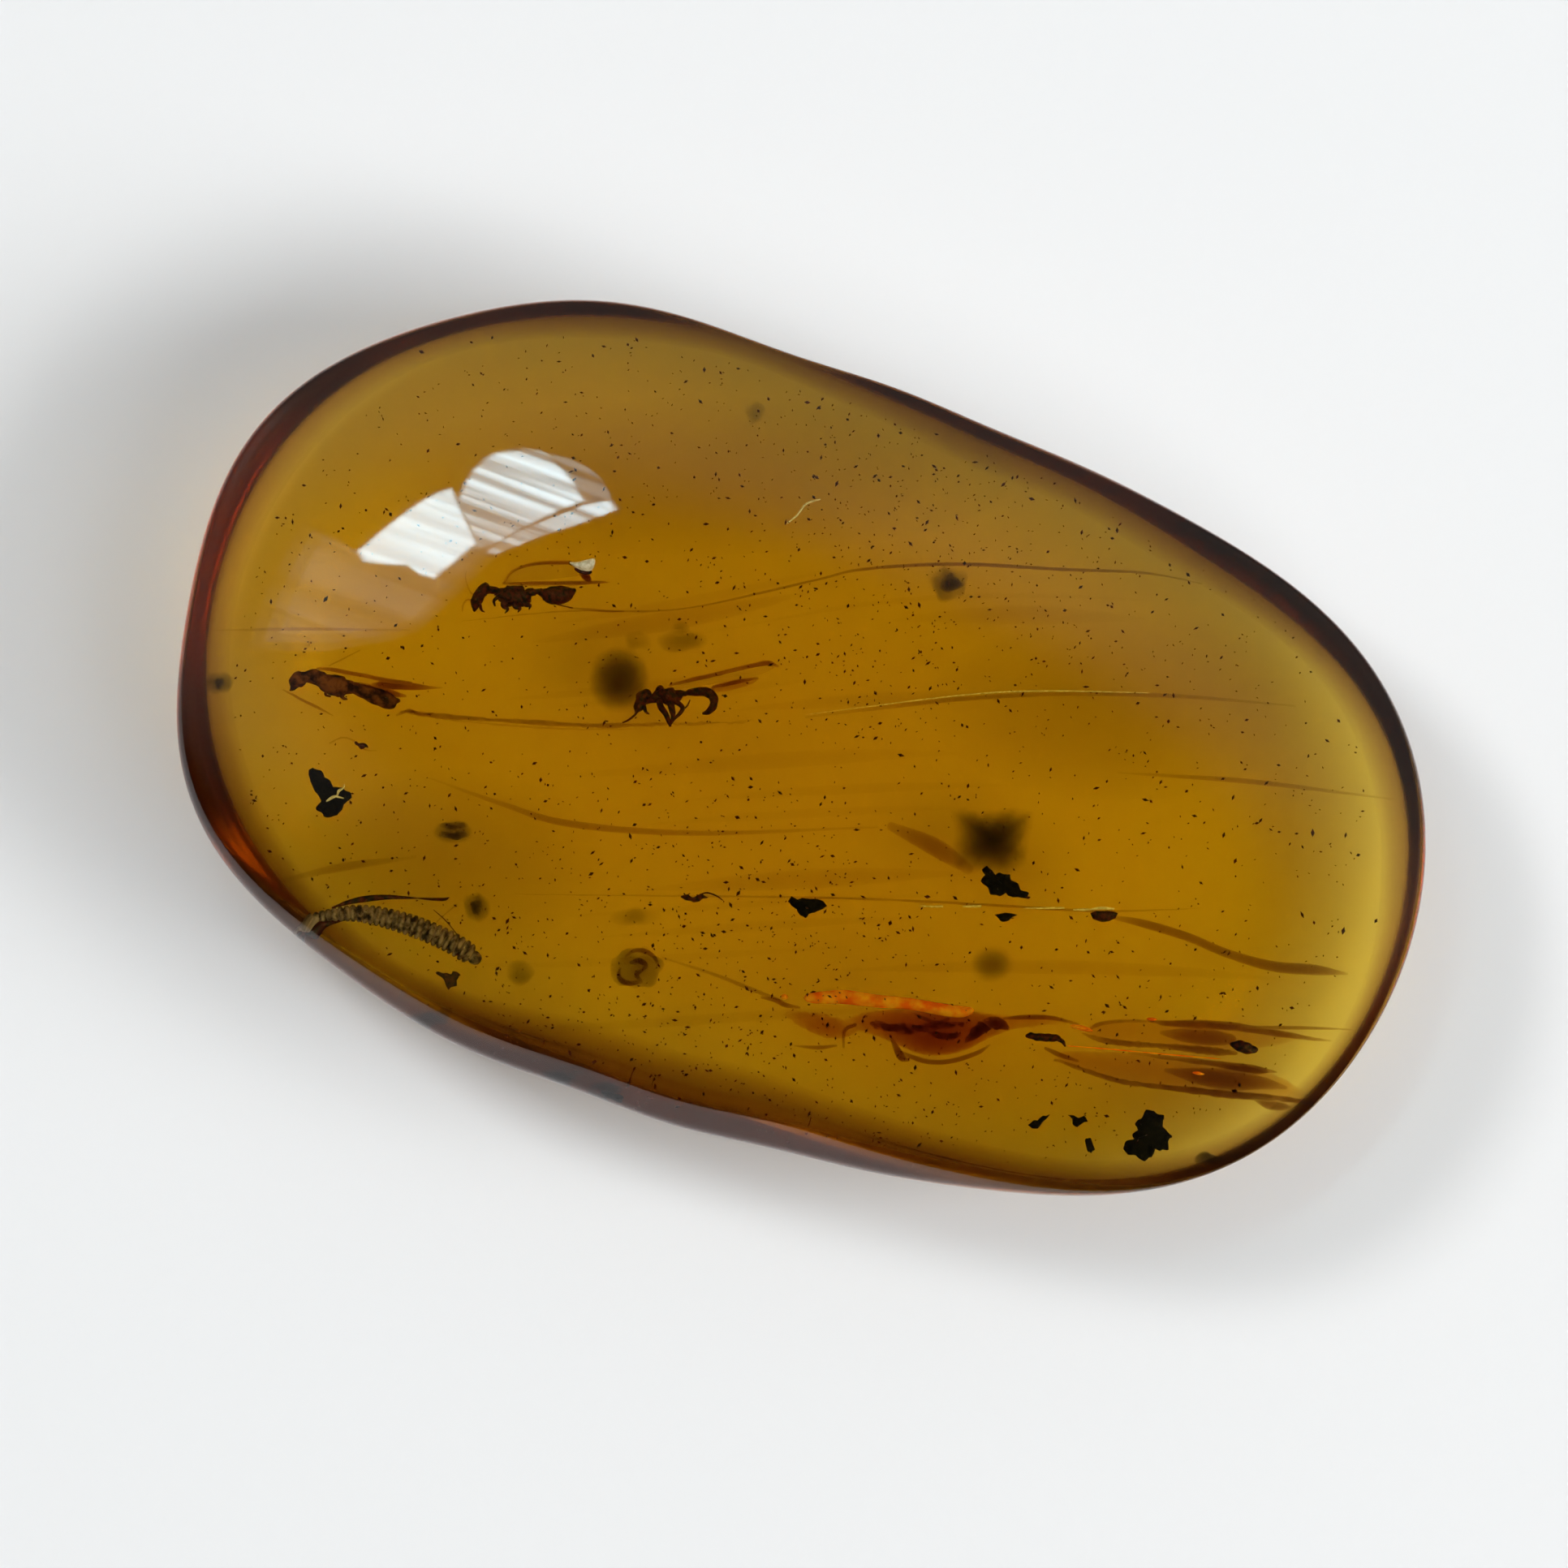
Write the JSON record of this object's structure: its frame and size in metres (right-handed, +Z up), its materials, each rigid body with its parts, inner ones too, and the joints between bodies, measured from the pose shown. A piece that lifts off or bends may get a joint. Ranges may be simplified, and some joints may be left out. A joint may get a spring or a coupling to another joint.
{
  "type": "insect in amber",
  "caption": "Polished free-form piece of clear amber with small wasps, a winged termite and a millipede sealed inside, lying on its flat back.",
  "frame": {"origin": "on the flat back that the stone lies on, at the middle of its outline", "axes": "+X along the stone's long side, +Y across it, +Z up out of the domed face"},
  "size_m": [0.0278, 0.0168, 0.0062],
  "materials": {
    "clear_amber": "polished",
    "dark_chitin": "satin",
    "red_brown_chitin": "satin",
    "silvered_cuticle": "satin",
    "black_bark": "matte",
    "insect_droppings": "matte"
  },
  "bodies": {
    "root": {"amber_top": "clear_amber", "amber_bottom": "clear_amber", "wasp_upper": "dark_chitin", "wasp_left": "dark_chitin", "wasp_middle": "dark_chitin", "winged_termite": "red_brown_chitin", "millipede": "silvered_cuticle", "bark_left": "black_bark", "bark_middle": "black_bark", "bark_right": "black_bark", "bark_lower_right": "black_bark", "bark_deep": "insect_droppings", "bark_brown": "insect_droppings", "dropping_upper_right": "insect_droppings", "dropping_left": "insect_droppings", "dropping_lower_left": "insect_droppings", "dropping_lower": "insect_droppings", "dropping_middle": "insect_droppings", "dropping_rim": "insect_droppings"}
  },
  "joints": []
}
